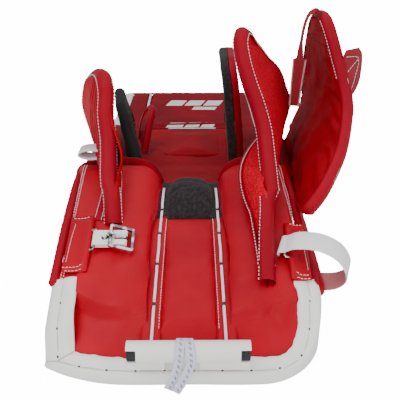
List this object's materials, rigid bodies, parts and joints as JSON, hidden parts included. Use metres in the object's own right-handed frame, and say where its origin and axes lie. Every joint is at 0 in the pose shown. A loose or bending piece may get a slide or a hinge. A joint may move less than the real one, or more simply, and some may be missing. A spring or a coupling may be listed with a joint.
{
  "type": "hockey goalie leg pad",
  "caption": "Right-leg ice hockey goalie pad: arched foam pad with toe binding, buckle and straps, padded leg channel and folding calf and knee wraps.",
  "frame": {"origin": "on the front face, under the middle of the knee", "axes": "+Y from the toe to the thigh end, +Z from the front face to the leg side, +X towards the outside of the right leg"},
  "size_m": [0.3551, 0.8628, 0.2944],
  "materials": {
    "black_knit": "knitted fabric",
    "chrome_wire": "polished",
    "clear_elastic": "thin elastic band",
    "dark_red_nylon": "woven nylon",
    "embroidery": "satin stitch",
    "foam": "closed-cell foam",
    "plate": "polyethylene sheet",
    "red_leather": "smooth synthetic leather, satin",
    "red_mesh": "brushed mesh fabric",
    "red_webbing": "woven webbing, hook and loop",
    "white_binding": "smooth synthetic leather, slightly scuffed",
    "white_face": "smooth synthetic leather, satin",
    "white_lace": "flat braided lace",
    "white_webbing": "woven webbing"
  },
  "bodies": {
    "shin": {"shin_face_cover": "white_face", "shin_stiffener": "plate", "shin_foam_core": "foam", "channel_liner": "dark_red_nylon", "inner_shin_bolster": "red_leather", "outer_shin_bolster": "red_leather", "knee_cradle": "dark_red_nylon", "outer_roll": "red_leather"},
    "boot": {"boot_face_cover": "white_face", "boot_stiffener": "plate", "boot_foam_core": "foam", "inner_boot_bolster": "red_leather", "outer_boot_bolster": "red_leather", "boot_tongue": "red_leather", "ankle_roll": "black_knit", "toe_binding": "white_binding", "toe_bridge_sleeve": "white_binding", "toe_bridge_core": "foam", "boot_laces": "white_lace", "inner_ring_tab": "red_leather", "outer_ring_tab": "red_leather", "boot_side_roll": "red_leather"},
    "thigh_rise": {"thigh_face_cover": "white_face", "thigh_stiffener": "plate", "thigh_foam_core": "foam", "thigh_liner": "dark_red_nylon", "thigh_side_panels": "red_leather", "thigh_edge_binding": "white_face", "thigh_laces": "white_lace", "thigh_patch": "embroidery"},
    "inner_calf_wrap": {"inner_calf_wrap_cover": "red_leather", "inner_calf_wrap_plate": "plate", "inner_calf_wrap_lining": "dark_red_nylon", "calf_strap_loop": "clear_elastic"},
    "outer_calf_wrap": {"outer_calf_wrap_cover": "red_mesh", "outer_calf_wrap_plate": "plate", "outer_calf_wrap_lining": "red_mesh"},
    "outer_leg_wrap": {"outer_leg_wrap_cover": "white_face", "outer_leg_wrap_plate": "plate", "outer_leg_wrap_lining": "dark_red_nylon", "wrap_strap_tail": "red_webbing"},
    "inner_knee_wrap": {"inner_knee_wrap_cover": "dark_red_nylon", "inner_knee_wrap_plate": "plate", "inner_knee_wrap_lining": "black_knit"},
    "outer_knee_wrap": {"outer_knee_wrap_cover": "dark_red_nylon", "outer_knee_wrap_plate": "plate", "outer_knee_wrap_lining": "black_knit"},
    "knee_flap": {"knee_flap": "red_leather"},
    "wrap_strap": {"wrap_strap": "red_webbing"},
    "inner_ring": {"inner_ring": "chrome_wire"},
    "buckle_strap": {"buckle_strap": "white_webbing", "buckle_rivet": "chrome_wire"},
    "buckle_frame": {"buckle_frame": "chrome_wire"},
    "buckle_prong": {"buckle_prong": "chrome_wire"},
    "outer_ring": {"outer_ring": "chrome_wire"},
    "boot_strap": {"boot_strap": "white_webbing"},
    "toe_tie": {"toe_tie": "white_lace"}
  },
  "joints": [
    {"name": "boot_flex", "type": "hinge", "parent": "shin", "child": "boot", "pos_m": [0, -0.237, 0.045], "axis": [1, 0, 0], "range_deg": [0, 8], "stiffness_Nm_per_rad": 20},
    {"name": "thigh_flex", "type": "hinge", "parent": "shin", "child": "thigh_rise", "pos_m": [0, 0.08, 0], "axis": [1, 0, 0], "range_deg": [-8, 8], "stiffness_Nm_per_rad": 20},
    {"name": "inner_calf_wrap_fold", "type": "hinge", "parent": "boot", "child": "inner_calf_wrap", "pos_m": [-0.0825, -0.348, 0.095], "axis": [-0.0743, 0.9552, 0.2866], "range_deg": [-10, 8]},
    {"name": "outer_calf_wrap_fold", "type": "hinge", "parent": "boot", "child": "outer_calf_wrap", "pos_m": [0.0795, -0.425, 0.073], "axis": [-0.0732, 0.9551, 0.2871], "range_deg": [-8, 15]},
    {"name": "outer_leg_wrap_fold", "type": "hinge", "parent": "shin", "child": "outer_leg_wrap", "pos_m": [0.143, -0.13, 0.064], "axis": [0, 1, 0], "range_deg": [-2, 30]},
    {"name": "inner_knee_wrap_fold", "type": "hinge", "parent": "shin", "child": "inner_knee_wrap", "pos_m": [-0.093, -0.02, 0.086], "axis": [-0.0296, 0.987, -0.1579], "range_deg": [-6, 8]},
    {"name": "outer_knee_wrap_fold", "type": "hinge", "parent": "shin", "child": "outer_knee_wrap", "pos_m": [0.067, -0.025, 0.065], "axis": [0, 1, 0], "range_deg": [-8, 8]},
    {"name": "knee_flap_fold", "type": "hinge", "parent": "shin", "child": "knee_flap", "pos_m": [-0.074, -0.034, 0.061], "axis": [-0.1867, 0.9824, 0], "range_deg": [0, 25]},
    {"name": "wrap_strap_swing", "type": "hinge", "parent": "outer_leg_wrap", "child": "wrap_strap", "pos_m": [0.158, -0.16, 0.294], "axis": [0, 1, 0], "range_deg": [-6, 2]},
    {"name": "inner_ring_swing", "type": "hinge", "parent": "boot", "child": "inner_ring", "pos_m": [-0.106, -0.381, 0.0891], "axis": [0, 0.9578, 0.2874], "range_deg": [-20, 1]},
    {"name": "buckle_strap_swing", "type": "hinge", "parent": "inner_ring", "child": "buckle_strap", "pos_m": [-0.09784, -0.38209, 0.09274], "axis": [0, 0.9578, 0.2874], "range_deg": [-20, 1]},
    {"name": "buckle_frame_swing", "type": "hinge", "parent": "buckle_strap", "child": "buckle_frame", "pos_m": [-0.06684, -0.38209, 0.09274], "axis": [0, 0.9578, 0.2874], "range_deg": [-1, 8]},
    {"name": "buckle_prong_swing", "type": "hinge", "parent": "buckle_frame", "child": "buckle_prong", "pos_m": [-0.06684, -0.38209, 0.09274], "axis": [0, 0.9578, 0.2874], "range_deg": [0, 25]},
    {"name": "outer_ring_swing", "type": "hinge", "parent": "boot", "child": "outer_ring", "pos_m": [0.105, -0.392, 0.0858], "axis": [0, 0.9578, 0.2874], "range_deg": [-10, 1]},
    {"name": "boot_strap_swing", "type": "hinge", "parent": "outer_ring", "child": "boot_strap", "pos_m": [0.09684, -0.39309, 0.08944], "axis": [0, 0.9578, 0.2874], "range_deg": [-15, 1]},
    {"name": "toe_tie_swing", "type": "hinge", "parent": "boot", "child": "toe_tie", "pos_m": [-0.005, -0.504, 0.045], "axis": [1, 0, 0], "range_deg": [-35, 5]}
  ]
}
